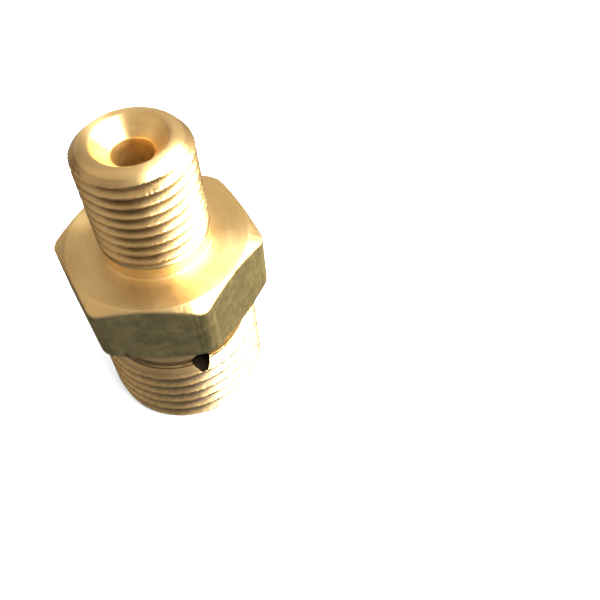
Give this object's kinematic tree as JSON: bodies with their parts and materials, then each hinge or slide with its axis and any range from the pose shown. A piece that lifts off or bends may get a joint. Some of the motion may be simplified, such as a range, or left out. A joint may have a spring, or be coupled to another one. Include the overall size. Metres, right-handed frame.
{
  "type": "oil burner nozzle",
  "caption": "Brass burner nozzle with a hexagon collar, a threaded oil inlet with a cone seat, a larger threaded burner end, a cross-drilled air port and an adjustable air cap.",
  "frame": {"origin": "centre of the large end's rim, on the nozzle's axis", "axes": "+Z along the nozzle's axis from the burner end to the oil inlet; the hexagon has corners on +X and -X and flats facing +Y and -Y"},
  "size_m": [0.0266, 0.0234, 0.0433],
  "materials": {
    "body_brass": "machined, with a dull drawn surface on the hexagon",
    "inner_brass": "machined",
    "copper": "soft annealed copper",
    "sintered_bronze": "porous, matt",
    "stainless_steel": "turned or drawn",
    "ball_steel": "polished",
    "seal_rubber": "matt black"
  },
  "bodies": {
    "nozzle": {"nozzle_body": "body_brass", "inner_stem": "inner_brass", "stem_washer": "copper", "filter_holder": "inner_brass", "sintered_filter": "sintered_bronze", "check_spring": "stainless_steel", "distributor": "inner_brass", "spray_disc": "stainless_steel", "tip_nut": "inner_brass", "swirl_ring": "inner_brass"},
    "ball": {"check_ball": "ball_steel"},
    "cap_seal": {"cap_o_ring": "seal_rubber"},
    "cap": {"air_cap": "inner_brass"}
  },
  "joints": [
    {"name": "ball_lift", "type": "slide", "parent": "nozzle", "child": "ball", "axis": [0, 0, -1], "range_m": [0, 0.001], "stiffness_N_per_m": 400, "springref_m": -0.0005, "deforming": ["check_spring"]},
    {"name": "cap_travel", "type": "slide", "parent": "nozzle", "child": "cap_seal", "axis": [0, 0, -1], "range_m": [0, 0.0018]},
    {"name": "cap_turn", "type": "hinge", "parent": "cap_seal", "child": "cap", "pos_m": [0, 0, 0.005], "axis": [0, 0, -1], "range_deg": [0, 648]}
  ],
  "couplings": [
    {"joint": "cap_travel", "follows": "cap_turn", "m_per_rad": 0.00015915}
  ]
}
